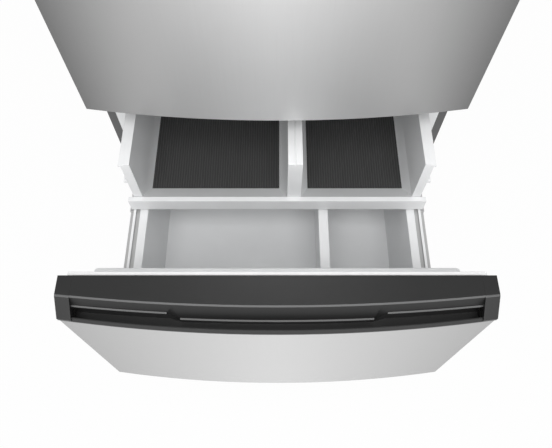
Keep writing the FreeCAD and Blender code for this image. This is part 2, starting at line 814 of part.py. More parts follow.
cover_thick = 3
freezer_fan_level = d.mullion_bottom - 56
evaporator_top = freezer_fan_level - 60


def make_evaporator_cover():
    half = inner_half - 0.5
    trim = d.liner_corner
    top = d.mullion_bottom - 0.5
    panel = prism("XZ_Plane", cover_front, cover_front + cover_thick, [
        (-half, d.step_top), (half, d.step_top), (half, top - trim), (half - trim, top),
        (-half + trim, top), (-half, top - trim)])
    slots = pocket_in(panel, "XZ_Plane", -cover_front - cover_thick, cover_thick, True,
                      rect(-290, -110, d.step_top + 20, d.step_top + 28),
                      rect(110, 290, d.step_top + 20, d.step_top + 28))
    repeat(panel, slots, "Z_Axis", 5, 168)
    throat = d.evaporator_fan_radius + 3
    ring = rod("y", 0, cover_front + cover_thick, freezer_fan_level, throat + 2.5, 14)
    hole = rod("y", 0, cover_front - 20, freezer_fan_level, throat, 60)
    return cut(fuse(panel, ring), hole)


def make_freezer_fan_motor():
    arm = d.evaporator_fan_radius + 10
    front = cover_front + cover_thick
    bar = box(-arm - 4, arm + 4, front + 26, front + 30, freezer_fan_level - 6,
              freezer_fan_level + 6)
    posts = [side_box(side, arm, arm + 4, front, front + 26, freezer_fan_level - 6,
                      freezer_fan_level + 6) for side in (-1, 1)]
    motor = rod("y", 0, front + 20.5, freezer_fan_level, 15, 28)
    return fuse(bar, motor, *posts)


sub_part("compressor", make_compressor())
sub_part("condenser_coil", make_coil(-4, 326, machine_front + 30, d.cabinet_depth - 30,
                                     pan_top + 44, d.machine_top - 16, pan_top, 6))
sub_part("fan_shroud", make_fan_shroud())
sub_part("condenser_fan", make_fan(True, (fan_x, machine_middle, fan_level),
                                   d.fan_radius, 17, 22, 5))
sub_part("drain_pan", make_drain_pan())
sub_part("machine_cover", make_machine_cover())
sub_part("evaporator_coil", make_coil(-262, 262, cover_front + 42, space_back - 6,
                                      d.step_top + 16, evaporator_top, d.step_top, 7))
sub_part("evaporator_cover", make_evaporator_cover())
sub_part("freezer_fan_motor", make_freezer_fan_motor())
sub_part("freezer_fan", make_fan(False, (0, cover_front + cover_thick + 4, freezer_fan_level),
                                 d.evaporator_fan_radius, 13, 16, 5))


# ---------------------------------------------------------------- fresh food fittings

frame_half = inner_half - 0.5
hanger_half = 14


def crisper_hanger():
    """Web and flange of the T-shaped rail under the crisper cover that carries the crispers."""
    flange_top = crisper_rim - runner_gap
    web = 4
    return [box(-web, web, d.shelf_front, shelf_back, flange_top, d.crisper_cover_level),
            box(-hanger_half, hanger_half, d.shelf_front, shelf_back,
                flange_top - d.ledge_height, flange_top)]


def make_shelf_frames():
    frames = []
    rebate = 5
    for level in shelf_levels:
        outside = box(-frame_half, frame_half, d.shelf_front, shelf_back, level,
                      level + d.shelf_height)
        window = box(-frame_half + d.shelf_frame, frame_half - d.shelf_frame,
                     d.shelf_front + d.shelf_frame, shelf_back - d.shelf_frame,
                     level - beyond, level + d.shelf_height + beyond)
        seat = box(-frame_half + d.shelf_frame - rebate, frame_half - d.shelf_frame + rebate,
                   d.shelf_front + d.shelf_frame - rebate,
                   shelf_back - d.shelf_frame + rebate,
                   level + d.shelf_height - d.glass_thick,
                   level + d.shelf_height + beyond)
        frames.append(cut(outside, window, seat))
    return group(*frames, *crisper_hanger())


def make_shelf_panes():
    inset = d.shelf_frame - 5
    return group(*[
        prism("XY_Plane", level + d.shelf_height - d.glass_thick, level + d.shelf_height,
              rect(-frame_half + inset, frame_half - inset, d.shelf_front + inset,
                   shelf_back - inset))
        for level in shelf_levels])


def make_sliding_box(x0, x1, left_rim, right_rim, bottom, height):
    """An open-topped drawer with rims that ride on ledges and a grip along its front."""
    front, back = d.shelf_front + 3, shelf_back - 12
    draw_in, wall, rim = 7, d.drawer_wall, 4
    top = bottom + height
    outside = tapered((x0 + draw_in, x1 - draw_in, front + draw_in, back - draw_in),
                      (x0, x1, front, back), bottom, top)
    inside = tapered((x0 + draw_in + wall, x1 - draw_in - wall, front + draw_in + wall,
                      back - draw_in - wall),
                     (x0 + wall, x1 - wall, front + wall, back - wall),
                     bottom + wall, top + 0.01)
    rims = [box(left_rim, x0 + 1, front, back, top - rim, top),
            box(x1 - 1, right_rim, front, back, top - rim, top)]
    grip = prism("YZ_Plane", x0 + 20, x1 - 20, [
        (front + 2, top), (front - 2, top), (front - 2, top - 22), (front - 0.5, top - 22),
        (front, top - 5), (front + 2, top - 5)])
    return cut(fuse(outside, *rims, grip), inside)


crisper_far = inner_half - d.ledge_reach - d.side_play
crisper_near = hanger_half + d.side_play


def make_crisper(side):
    edges = [side * crisper_near, side * crisper_far]
    rims = [side * (crisper_near - 9), side * (inner_half - d.side_play)]
    if side < 0:
        edges.reverse()
        rims.reverse()
    return make_sliding_box(edges[0], edges[1], rims[0], rims[1], crisper_bottom,
                            d.crisper_height)


def make_pantry_drawer():
    return make_sliding_box(-crisper_far, crisper_far, -inner_half + d.side_play,
                            inner_half - d.side_play, pantry_bottom, d.pantry_height)


def make_air_column():
    front, top, half = space_back - 26, 1600, 82
    shell = prism("XY_Plane", shelf_levels[0] + 24, top, [
        (-half, space_back), (-half + 14, front), (half - 14, front), (half, space_back)])
    vents = pocket_in(shell, "XZ_Plane", -front - 6, 6, True,
                      rect(-44, 44, shelf_levels[1] + 40, shelf_levels[1] + 46),
                      rect(-44, 44, shelf_levels[1] + 56, shelf_levels[1] + 62))
    repeat(shell, vents, "Z_Axis", 3, 2 * d.shelf_pitch - 60)
    return shell


def make_control_housing():
    low = space_top - 26
    case = prism("YZ_Plane", -170, 170, [
        (84, space_top), (84, low + 12), (96, low), (240, low), (262, space_top)])
    pocket_in(case, "XY_Plane", low, 4, True, rect(-104, 104, 118, 222))
    return case


def make_light_lens():
    low = space_top - 26
    return prism("XY_Plane", low, low + 4, rect(-104, 104, 118, 222))


sub_part("shelf_frames", make_shelf_frames())
sub_part("shelf_panes", make_shelf_panes())
sub_part("crisper_left", make_crisper(-1))
sub_part("crisper_right", make_crisper(1))
sub_part("pantry_drawer", make_pantry_drawer())
sub_part("air_column", make_air_column())
sub_part("control_housing", make_control_housing())
sub_part("light_lens", make_light_lens())


# ----------------------------------------------------------------------------- hinges

pin_x = half_width - d.hinge_inset
pin_y = -d.hinge_front
bush_radius = d.pin_radius + d.pin_play


def make_top_hinge():
    low, high = d.cabinet_top, d.cabinet_top + d.hinge_plate
    plate = prism("XY_Plane", low, high, [
        (pin_x - 70, 12), (pin_x - 14, 12), (pin_x - 10, pin_y - 8), (pin_x + 4, pin_y - 10),
        (pin_x + 8, pin_y), (pin_x + 8, 78), (pin_x - 70, 78)])
    pin = rod("z", pin_x, pin_y, d.door_top - d.end_cap + 1, d.pin_radius,
              high - d.door_top + d.end_cap + 3)
    screws = [rod("z", pin_x - 44, y, high, 6, 3) for y in (28, 62)]
    return fuse(plate, pin, *screws)


def make_hinge_cover():
    low, high = d.cabinet_top, d.cabinet_top + d.hinge_cover_height
    near, far, front, back = pin_x - 78, half_width, pin_y - 14, 86
    wall, slope = 2, 10
    return cut(tapered((near, far, front, back),
                       (near + slope, far - 3, front + slope, back - slope), low, high),
               tapered((near + wall, far - wall, front + wall, back - wall),
                       (near + slope + wall, far - 3 - wall, front + slope + wall,
                        back - slope - wall), low - 0.01, high - wall))


hinge_level = d.door_bottom - d.door_gap / 2


def make_centre_hinge():
    low, high = hinge_level - d.hinge_plate / 2, hinge_level + d.hinge_plate / 2
    near = pin_x - 18
    plate = prism("XY_Plane", low, high, [
        (near, 0), (near, -12), (pin_x - 10, pin_y), (pin_x - 6, pin_y - 8),
        (pin_x + 6, pin_y - 8), (pin_x + 10, pin_y), (pin_x + 10, 0)])
    flange = box(near, pin_x + 10, -3, 0, bar_bottom + 2, bar_top - 2)
    pin = rod("z", pin_x, pin_y, low, d.pin_radius, d.door_bottom + d.end_cap - 1 - low)
    screws = [rod("y", pin_x - 4, -5.5, hinge_level + z, 4.5, 2.5) for z in (-10, 10)]
    return fuse(plate, flange, pin, *screws)


sub_part("top_hinge", make_top_hinge())
sub_part("hinge_cover", make_hinge_cover())
sub_part("centre_hinge", make_centre_hinge())


# -------------------------------------------------------------------- fresh food door

panel_back = -d.panel_gap
liner_front = panel_back - d.liner_wall
skin_depth = d.panel_depth - d.sheet_steel
door_low = d.door_bottom + d.end_cap
door_high = d.door_top - d.end_cap
door_inner = half_width - d.sheet_steel
grip_top = d.grip_bottom + d.grip_height
grip_front = -d.panel_depth + 14
grip_back = grip_front + d.grip_mouth
dyke_half = inner_half - d.dyke_clear
dyke_inner = dyke_half - d.dyke_wall
bin_half = dyke_inner - 0.3


def grip_block(grow):
    """The room of the side grip: its mouth and the hook behind the front edge."""
    wall = size(grow)
    reach = -beyond if grow == 0 else 0
    mouth = box(-half_width + reach, -half_width + d.grip_depth + wall, grip_front - wall,
                grip_back + wall, d.grip_bottom - wall, grip_top + wall)
    hook = box(-half_width + 18 - wall, -half_width + d.grip_depth + wall,
               grip_front - 6 - wall, grip_front + wall, d.grip_bottom - wall,
               grip_top + wall)
    return fuse(mouth, hook)


def make_door_skin():
    outside = prism("XY_Plane", d.door_bottom, d.door_top,
                    front_outline(half_width, panel_back, d.panel_depth, d.door_bow))
    inside = prism("XY_Plane", d.door_bottom - beyond, d.door_top + beyond,
                   front_outline(door_inner, panel_back + beyond, skin_depth, d.door_bow))
    return cut(outside, inside, grip_block(2))


def make_door_caps():
    caps = []
    for low, high in ((d.door_bottom, door_low), (door_high, d.door_top)):
        caps.append(prism("XY_Plane", low, high,
                          front_outline(door_inner, panel_back, skin_depth, d.door_bow)))
    holes = [rod("z", pin_x, pin_y, d.door_bottom - beyond, bush_radius, d.end_cap + beyond),
             rod("z", pin_x, pin_y, door_high, bush_radius, d.end_cap + beyond)]
    return group(cut(caps[0], holes[0]), cut(caps[1], holes[1]))


def make_door_foam():
    core = prism("XY_Plane", door_low, door_high,
                 front_outline(door_inner, liner_front, skin_depth, d.door_bow))
    return cut(core, grip_block(2))


def make_door_grip():
    return cut(grip_block(2), grip_block(0))


def make_door_liner():
    plate = prism("XZ_Plane", liner_front, panel_back,
                  rect(-door_inner, door_inner, door_low, door_high))
    ring = prism("XZ_Plane", panel_back, d.dyke_rise,
                 rect(-dyke_half, dyke_half, d.dyke_bottom, d.dyke_top),
                 rect(-dyke_inner, dyke_inner, d.dyke_bottom + d.dyke_wall,
                      d.dyke_top - d.dyke_wall))
    return fuse(plate, ring)


def make_gasket(bottom, top):
    half = half_width - d.gasket_outer
    inner = half - d.gasket_width
    return prism("XZ_Plane", panel_back, -d.gasket_relief,
                 rect(-half, half, bottom + d.gasket_end, top - d.gasket_end),
                 rect(-inner, inner, bottom + d.gasket_end + d.gasket_width,
                      top - d.gasket_end - d.gasket_width))


bin_levels = [d.dyke_bottom + 40 + step * 262 for step in range(3)]
dairy_bottom = bin_levels[2] + 262
dairy_height = 130
lid_pivot_y = 66
lid_pivot_z = dairy_bottom + dairy_height - 6


def make_door_bins():
    bins = []
    draw_in, wall = 6, d.bin_wall
    for level in bin_levels:
        high = level + d.bin_height
        outside = tapered((-bin_half, bin_half, panel_back, d.bin_depth - draw_in),
                          (-bin_half, bin_half, panel_back, d.bin_depth), level, high)
        inside = tapered((-bin_half + wall, bin_half - wall, panel_back + wall,
                          d.bin_depth - draw_in - wall),
                         (-bin_half + wall, bin_half - wall, panel_back + wall,
                          d.bin_depth - wall), level + wall, high + 0.01)
        bins.append(cut(outside, inside))
    return group(*bins)


def make_dairy_box():
    top = dairy_bottom + dairy_height
    wall = d.bin_wall
    outside = prism("YZ_Plane", -bin_half, bin_half, [
        (panel_back, dairy_bottom), (lid_pivot_y - 6, dairy_bottom),
        (lid_pivot_y - 6, lid_pivot_z - 8), (lid_pivot_y + 5, lid_pivot_z - 5),
        (lid_pivot_y + 5, lid_pivot_z + 5), (lid_pivot_y - 6, top), (panel_back, top)])
    inside = box(-bin_half + wall, bin_half - wall, panel_back + wall, lid_pivot_y + 20,
                 dairy_bottom + wall, top - wall)
    room_for_lid = box(-bin_half + wall, bin_half - wall, lid_pivot_y - 8, lid_pivot_y + 20,
                       dairy_bottom + wall, top + beyond)
    pivots = rod("x", -bin_half - 1, lid_pivot_y, lid_pivot_z, 2 + d.pin_play,
                 2 * bin_half + 2)
    return cut(outside, inside, room_for_lid, pivots)


def make_dairy_lid():
    half = bin_half - d.bin_wall - 0.5
    leaf = prism("YZ_Plane", -half, half, [
        (lid_pivot_y - 1.5, dairy_bottom + 4), (lid_pivot_y + 1.5, dairy_bottom + 4),
        (lid_pivot_y + 1.5, lid_pivot_z), (lid_pivot_y - 1.5, lid_pivot_z)])
    knuckle = rod("x", -half, lid_pivot_y, lid_pivot_z, 4, 2 * half)
    pin = rod("x", -bin_half + 0.2, lid_pivot_y, lid_pivot_z, 2, 2 * bin_half - 0.4)
    lip = box(-60, 60, lid_pivot_y + 1, lid_pivot_y + 8, dairy_bottom + 4, dairy_bottom + 6.5)
    return fuse(leaf, knuckle, pin, lip)


sub_part("door_skin", make_door_skin())
sub_part("door_caps", make_door_caps())
sub_part("door_foam", make_door_foam())
sub_part("door_grip", make_door_grip())
sub_part("door_liner", make_door_liner())
sub_part("door_gasket", make_gasket(d.door_bottom, d.door_top))
sub_part("door_bins", make_door_bins())
sub_part("dairy_box", make_dairy_box())
sub_part("dairy_lid", make_dairy_lid())


# --------------------------------------------------------------- freezer drawer front

drawer_top = d.door_bottom - d.door_gap
slant_bottom = drawer_top - d.cap_slant
steel_top = slant_bottom - d.cap_band
steel_bottom = d.drawer_bottom + d.end_cap
drawer_half = half_width - d.drawer_skin_inset
drawer_inner = drawer_half - d.sheet_steel
plateau_half = inner_half - d.plateau_clear
plateau_top = steel_top - d.plateau_fall
top_corner = d.panel_gap + d.cap_top_depth
lip_corner = d.panel_depth - d.lip_wall
pocket_end = half_width - d.end_block
ridge_out = d.centre_half + d.step_run
pocket_floor = drawer_top - d.pocket_fall
side_ridge = drawer_top - d.side_ridge_fall
centre_ridge = drawer_top - d.centre_ridge_fall
side_corner = top_corner + d.side_ridge_fall * d.ridge_slope
centre_corner = top_corner + d.centre_ridge_fall * d.ridge_slope
top_arc = bow_radius(half_width, d.cap_top_bow)
lip_arc = bow_radius(half_width, d.drawer_bow)


def loft(low, high, low_outline, high_outline):
    body = new_body()
    first = sketch_on(body, "XY_Plane", low, low_outline)
    second = sketch_on(body, "XY_Plane", high, high_outline)
    form = body.newObject("PartDesign::AdditiveLoft", "Loft")
    form.Profile = first
    form.Sections = [second]
    form.Ruled = True
    return body


def strip(x0, x1, corner, bow, front_corner, front_bow):
    """Plan of a band between two bowed lines: the back one and the front one."""
    return [
        (x0, bow_at(x0, corner, bow), bow_radius(half_width, bow), -1),
        (x1, bow_at(x1, corner, bow)),
        (x1, bow_at(x1, front_corner, front_bow), bow_radius(half_width, front_bow), 1),
        (x0, bow_at(x0, front_corner, front_bow)),
    ]


def trough_plan():
    """Plan of the finger trough; its middle third stands forward of the outer ones."""
    side_y = bow_at(ridge_out, side_corner, d.cap_top_bow)
    centre_y = bow_at(d.centre_half, centre_corner, d.cap_top_bow)
    end_side = bow_at(pocket_end, side_corner, d.cap_top_bow)
    end_lip = bow_at(pocket_end, lip_corner, d.drawer_bow)
    return [
        (-pocket_end, end_side, top_arc, -1),
        (-ridge_out, side_y),
        (-d.centre_half, centre_y, top_arc, -1),
        (d.centre_half, centre_y),
        (ridge_out, side_y, top_arc, -1),
        (pocket_end, end_side),
        (pocket_end, end_lip, lip_arc, 1),
        (-pocket_end, end_lip),
    ]


def side_trough_plan(side):
    """Plan of one outer third above the middle ridge."""
    points = [
        (ridge_out, bow_at(ridge_out, side_corner, d.cap_top_bow)),
        (pocket_end, bow_at(pocket_end, side_corner, d.cap_top_bow)),
        (pocket_end, bow_at(pocket_end, lip_corner, d.drawer_bow)),
        (d.centre_half, bow_at(d.centre_half, lip_corner, d.drawer_bow)),
        (d.centre_half, bow_at(d.centre_half, centre_corner, d.cap_top_bow)),
    ]
    if side > 0:
        return [(*points[0], top_arc, -1), points[1], (*points[2], lip_arc, 1), points[3],
                points[4]]
    left = [(-x, y) for x, y in points]
    return [(*left[1], top_arc, -1), left[0], left[4], (*left[3], lip_arc, 1), left[2]]


def cap_block():
    """The cap before its pocket is cut: an upright band and the slanted top."""
    band = prism("XY_Plane", steel_top, slant_bottom,
                 front_outline(half_width, panel_back, d.panel_depth, d.drawer_bow))
    slant = loft(slant_bottom, drawer_top,
                 front_outline(half_width, panel_back, d.panel_depth, d.drawer_bow),
                 front_outline(half_width, panel_back, top_corner, d.cap_top_bow))
    return fuse(band, slant)


def pocket_mould():
    """Outside of the moulded trough where it sinks into the foam."""
    end = pocket_end + d.pocket_wall
    return prism("XY_Plane", pocket_floor - d.pocket_wall, steel_top,
                 strip(-end, end, side_corner - d.pocket_wall, d.cap_top_bow,
                       lip_corner + d.pocket_wall, d.drawer_bow))


def pocket_room():
    """The room for the fingers: back slope, open front, and the stepped trough."""
    slope = loft(centre_ridge, drawer_top,
                 strip(-pocket_end, pocket_end, centre_corner, d.cap_top_bow, lip_corner,
                       d.drawer_bow),
                 strip(-pocket_end, pocket_end, top_corner, d.cap_top_bow, lip_corner,
                       d.drawer_bow))
    open_front = prism("XY_Plane", slant_bottom, drawer_top + beyond, [
        (-pocket_end, bow_at(pocket_end, lip_corner, d.drawer_bow), lip_arc, -1),
        (pocket_end, bow_at(pocket_end, lip_corner, d.drawer_bow)),
        (pocket_end, -d.panel_depth - d.drawer_bow - beyond),
        (-pocket_end, -d.panel_depth - d.drawer_bow - beyond)])
    trough = prism("XY_Plane", pocket_floor, centre_ridge, trough_plan())
    sides = [prism("XY_Plane", centre_ridge, side_ridge, side_trough_plan(side))
             for side in (-1, 1)]
    return fuse(slope, open_front, trough, *sides)


def end_rooms():
    return [side_box(side, pocket_end, half_width + beyond, -d.cabinet_depth, panel_back + 1,
                     steel_top - beyond, drawer_top + beyond) for side in (-1, 1)]


def ridge_beads():
    """The finger edges: one bead along the ridge of each third of the pocket."""
    spans = [(-pocket_end - 1, -ridge_out, side_corner, side_ridge),
             (-d.centre_half, d.centre_half, centre_corner, centre_ridge),
             (ridge_out, pocket_end + 1, side_corner, side_ridge)]
    half = d.ridge_bead + 1
    return [prism("XY_Plane", level - half, level + half,
                  strip(x0, x1, corner - 1, d.cap_top_bow, corner + d.ridge_bead,
                        d.cap_top_bow))
            for x0, x1, corner, level in spans]


def make_drawer_cap():
    carved = cut(fuse(cut(cap_block(), *end_rooms()), pocket_mould()), pocket_room())
    return cut(fuse(carved, *ridge_beads()), *end_rooms())


def make_drawer_end_blocks():
    return common(cap_block(), fuse(*end_rooms()))


def make_drawer_skin():
    outside = prism("XY_Plane", d.drawer_bottom, steel_top,
                    front_outline(drawer_half, panel_back, d.panel_depth, d.drawer_bow))
    inside = prism("XY_Plane", d.drawer_bottom - beyond, steel_top + beyond,
                   front_outline(drawer_inner, panel_back + beyond, skin_depth, d.drawer_bow))
    return cut(outside, inside)


def make_drawer_bottom_cap():
    return prism("XY_Plane", d.drawer_bottom, steel_bottom,
                 front_outline(drawer_inner, panel_back, skin_depth, d.drawer_bow))


def plateau(inset):
    """The raised back of the drawer front with its rounded edge."""
    back = panel_back + d.plateau_rise - inset
    block = box(-plateau_half + inset, plateau_half - inset, liner_front, back,
                d.plateau_bottom + inset, plateau_top - inset)
    return rounded(block, d.plateau_edge - inset,
                   lambda a, b: min(a.y, b.y) > back.value - 0.1)


def make_drawer_foam():
    core = prism("XY_Plane", steel_bottom, steel_top,
                 front_outline(drawer_inner, liner_front, skin_depth, d.drawer_bow))
    return cut(fuse(core, plateau(d.liner_wall)), pocket_mould())


def make_drawer_liner():
    plate = box(-drawer_inner, drawer_inner, liner_front, panel_back, steel_bottom, steel_top)
    return cut(fuse(plate, plateau(0)), plateau(d.liner_wall))


sub_part("drawer_skin", make_drawer_skin(), d.drawer_travel)
sub_part("drawer_cap", make_drawer_cap(), d.drawer_travel)
sub_part("drawer_end_blocks", make_drawer_end_blocks(), d.drawer_travel)
sub_part("drawer_bottom_cap", make_drawer_bottom_cap(), d.drawer_travel)
sub_part("drawer_foam", make_drawer_foam(), d.drawer_travel)
sub_part("drawer_liner", make_drawer_liner(), d.drawer_travel)
sub_part("drawer_gasket", make_gasket(d.drawer_bottom, drawer_top), d.drawer_travel)


# --------------------------------------------------------- slides, basket, upper tray

rail_bottom = d.rail_top - d.rail_height
rail_end = step_front - d.rail_clear
basket_half = inner_half - d.basket_clear
basket_back = step_front - d.basket_end
nest = d.rail_steel + d.rail_play
bracket_far = inner_half - d.rail_depth - 2
bracket_near = bracket_far - 2
rim_thick = 4
rim_level = d.rail_top - rim_thick


def channel(side, number):
    """One member of the slide: each next one nests inside the one before."""
    step = number * nest
    far = inner_half - step
    near = inner_half - d.rail_depth - number
    high, low, steel = d.rail_top - step, rail_bottom + step, d.rail_steel
    points = [(near, high), (far, high), (far, low), (near, low), (near, low + steel),
              (far - steel, low + steel), (far - steel, high - steel), (near, high - steel)]
    return prism("XZ_Plane", d.rail_start, rail_end, [(side * x, z) for x, z in points])


def make_drawer_rail(side):
    plate = side_box(side, bracket_near, bracket_far, d.rail_start, rail_end,
                     rail_bottom + 2 * nest, d.rail_top + 2.5)
    ledge = side_box(side, basket_half - 15, bracket_near + 1, d.rail_start + 4, rail_end,
                     rim_level - 2, rim_level)
    top = side_box(side, bracket_near - 2, bracket_far + 2, d.rail_start + 4, rail_end,
                   d.rail_top + 0.5, d.rail_top + 2.5)
    foot = side_box(side, basket_half - 15, bracket_far, panel_back + d.plateau_rise,
                    d.rail_start, rail_bottom - 14, d.rail_top + 2.5)
    return fuse(channel(side, 2), plate, ledge, top, foot)


def make_freezer_basket():
    front, back = d.basket_front + 4, basket_back
    top_half = basket_half - d.basket_rim + d.basket_wall
    end_rim, wall, draw_in = 8, d.basket_wall, d.basket_taper
    outside = tapered((-top_half + draw_in, top_half - draw_in, front + end_rim + draw_in,
                       back - end_rim - draw_in),
                      (-top_half, top_half, front + end_rim, back - end_rim),
                      d.basket_floor, d.rail_top)
    inside = tapered((-top_half + draw_in + wall, top_half - draw_in - wall,
                      front + end_rim + draw_in + wall, back - end_rim - draw_in - wall),
                     (-top_half + wall, top_half - wall, front + end_rim + wall,
                      back - end_rim - wall),
                     d.basket_floor + wall, d.rail_top + 0.01)
    rim = box(-basket_half, basket_half, front, back, rim_level, d.rail_top)
    return cut(fuse(outside, rim), inside)


def make_basket_divider():
    front = d.basket_front + 4 + 8 + d.basket_wall + 0.3
    back = basket_back - 8 - d.basket_wall - 0.3
    wide = d.divider_wall / 2
    low = d.basket_floor + d.basket_wall
    outside = tapered((d.basket_divider_x - wide + 4, d.basket_divider_x + wide - 4,
                       front + d.basket_taper, back - d.basket_taper),
                      (d.basket_divider_x - wide, d.basket_divider_x + wide, front, back),
                      low, d.rail_top - 2)
    hollow = tapered((d.basket_divider_x - wide + 7, d.basket_divider_x + wide - 7,
                      front + d.basket_taper + 3, back - d.basket_taper - 3),
                     (d.basket_divider_x - wide + 3, d.basket_divider_x + wide - 3,
                      front + 3, back - 3), low - 0.01, d.rail_top - 5)
    return cut(outside, hollow)


tray_half = inner_half - d.tray_clear
tray_front_half = inner_half - d.tray_front_clear
tray_back = step_front - d.tray_end
mat_half = tray_half - d.mat_inset
tray_side_front = d.tray_front + d.tray_rim + 1
tray_floor = d.tray_bottom + 4
mat_top = tray_floor + d.mat_thick
apron_top = d.tray_front + d.tray_rim
apron_end = apron_top + d.tray_apron
tray_inner = tray_half - d.tray_side
tray_wall_outer = tray_half - 5


def tray_apron(half):
    """The low front wall with the slope that runs down to the mat."""
    return prism("YZ_Plane", -half, half, [
        (d.tray_front, d.tray_bottom), (d.tray_front, d.tray_rim_top),
        (apron_top, d.tray_rim_top), (apron_end, mat_top), (apron_end, d.tray_bottom)])


def make_tray_side(side):
    flange, ridge, fall = 10, 13, 4
    points = [(tray_inner, d.tray_top), (tray_inner + ridge, d.tray_top),
              (tray_inner + ridge + 1, d.tray_top - fall), (tray_half, d.tray_top - fall - 1),
              (tray_half, d.tray_top - flange), (tray_wall_outer, d.tray_top - flange),
              (tray_wall_outer, d.tray_bottom), (mat_half, d.tray_bottom),
              (mat_half, mat_top), (tray_inner, d.tray_rim_top)]
    wall = prism("XZ_Plane", tray_side_front, tray_back, [(side * x, z) for x, z in points])
    hollow = side_box(side, tray_inner + d.tray_wall, tray_wall_outer - d.tray_wall,
                      tray_side_front + d.tray_wall, tray_back - d.tray_wall,
                      d.tray_bottom - beyond, d.tray_top - flange)
    runner = side_box(side, tray_wall_outer, tray_wall_outer + 8, tray_side_front, tray_back,
                      d.guide_top + runner_gap, d.guide_top + 8)
    return fuse(cut(wall, hollow), runner)


def make_tray_body():
    rim = box(-tray_front_half, tray_front_half, d.tray_front, apron_top, d.tray_bottom,
              d.tray_rim_top)
    floor = box(-mat_half, mat_half, apron_end, tray_back, d.tray_bottom, tray_floor)
    back = box(-tray_inner, tray_inner, tray_back - d.tray_wall, tray_back, d.tray_bottom,
               d.tray_top - 20)
    return fuse(rim, tray_apron(tray_inner), floor, back, make_tray_side(-1),
                make_tray_side(1))


def make_tray_divider():
    x, wide, foot = d.tray_divider_x, d.tray_divider_wall / 2, d.tray_divider_foot / 2
    groove = 1.5
    wall = prism("XZ_Plane", tray_side_front, tray_back - d.tray_wall, [
        (x - wide, d.tray_top), (x - groove, d.tray_top), (x - groove, d.tray_top - 3),
        (x + groove, d.tray_top - 3), (x + groove, d.tray_top), (x + wide, d.tray_top),
        (x + wide, d.tray_rim_top), (x + foot, tray_floor), (x - foot, tray_floor),
        (x - wide, d.tray_rim_top)])
    hollow = box(x - wide + d.tray_wall, x + wide - d.tray_wall,
                 tray_side_front + d.tray_wall, tray_back - 2 * d.tray_wall,
                 tray_floor - beyond, d.tray_top - 6)
    return cut(wall, hollow, tray_apron(tray_inner))


def make_tray_mat():
    left = d.tray_divider_x - d.tray_divider_foot / 2
    right = d.tray_divider_x + d.tray_divider_foot / 2
    back = tray_back - d.tray_wall
    return group(
        prism("XY_Plane", tray_floor, mat_top, rect(-mat_half, left, apron_end, back)),
        prism("XY_Plane", tray_floor, mat_top, rect(right, mat_half, apron_end, back)))


sub_part("slide_fixed", pair(lambda side: channel(side, 0)))
for name, side in (("left", -1), ("right", 1)):
    sub_part(f"slide_middle_{name}", fuse(channel(side, 1)), d.drawer_travel / 2)
sub_part("slide_drawer", pair(make_drawer_rail), d.drawer_travel)
sub_part("freezer_basket", make_freezer_basket(), d.drawer_travel)
sub_part("basket_divider", make_basket_divider(), d.drawer_travel)
sub_part("tray_body", make_tray_body(), d.tray_travel)
sub_part("tray_divider", make_tray_divider(), d.tray_travel)
sub_part("tray_mat", make_tray_mat(), d.tray_travel)


# ---------------------------------------------------------------------- check and save

document.recompute()
for item in document.Objects:
    if "Invalid" in item.State or "Error" in item.State:
        raise ValueError(f"{item.Label} was not built")
for item in sub_parts:
    if item.Shape.isNull() or not item.Shape.isValid():
        raise ValueError(f"{item.Label} has no valid shape")

os.makedirs("parts", exist_ok=True)
for item in sub_parts:
    item.Shape.exportStep(f"parts/{item.Label}.step")
print(len(sub_parts), "sub-parts")
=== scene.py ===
import json
import math

import bmesh
import bpy
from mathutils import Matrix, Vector


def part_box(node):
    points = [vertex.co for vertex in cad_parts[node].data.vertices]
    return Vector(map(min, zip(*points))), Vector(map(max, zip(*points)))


# Looks of the bottom freezer refrigerator: materials, chamfered and softened edges, floor,
# lamps and camera.  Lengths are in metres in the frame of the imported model.

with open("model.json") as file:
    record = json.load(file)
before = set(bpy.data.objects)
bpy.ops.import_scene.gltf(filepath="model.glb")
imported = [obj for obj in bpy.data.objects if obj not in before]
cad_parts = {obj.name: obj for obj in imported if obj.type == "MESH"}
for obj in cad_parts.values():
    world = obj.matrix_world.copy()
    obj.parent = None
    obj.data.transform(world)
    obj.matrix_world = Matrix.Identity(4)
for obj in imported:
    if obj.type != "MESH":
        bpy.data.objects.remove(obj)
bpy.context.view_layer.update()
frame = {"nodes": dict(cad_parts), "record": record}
scene = bpy.context.scene
print("frame loaded:", len(frame["nodes"]), "nodes")


# shader building

class Number:
    # wraps a value socket, so that Python's operators add Math nodes
    def __init__(self, finish, socket):
        self.finish = finish
        self.socket = socket

    def combine(self, operation, first, second):
        made = self.finish.node("ShaderNodeMath", {"operation": operation}, {0: first, 1: second})
        return Number(self.finish, made.outputs[0])

    def __add__(self, other):
        return self.combine("ADD", self, other)

    def __sub__(self, other):
        return self.combine("SUBTRACT", self, other)

    def __mul__(self, other):
        return self.combine("MULTIPLY", self, other)

    def __truediv__(self, other):
        return self.combine("DIVIDE", self, other)

    def __pow__(self, other):
        return self.combine("POWER", self, other)

    def __radd__(self, other):
        return self.combine("ADD", other, self)

    def __rsub__(self, other):
        return self.combine("SUBTRACT", other, self)

    def __rmul__(self, other):
        return self.combine("MULTIPLY", other, self)

    def __rtruediv__(self, other):
        return self.combine("DIVIDE", other, self)

    def __rpow__(self, other):
        return self.combine("POWER", other, self)


def rgba(tone, tint=(1, 1, 1)):
    return (tone * tint[0], tone * tint[1], tone * tint[2], 1)


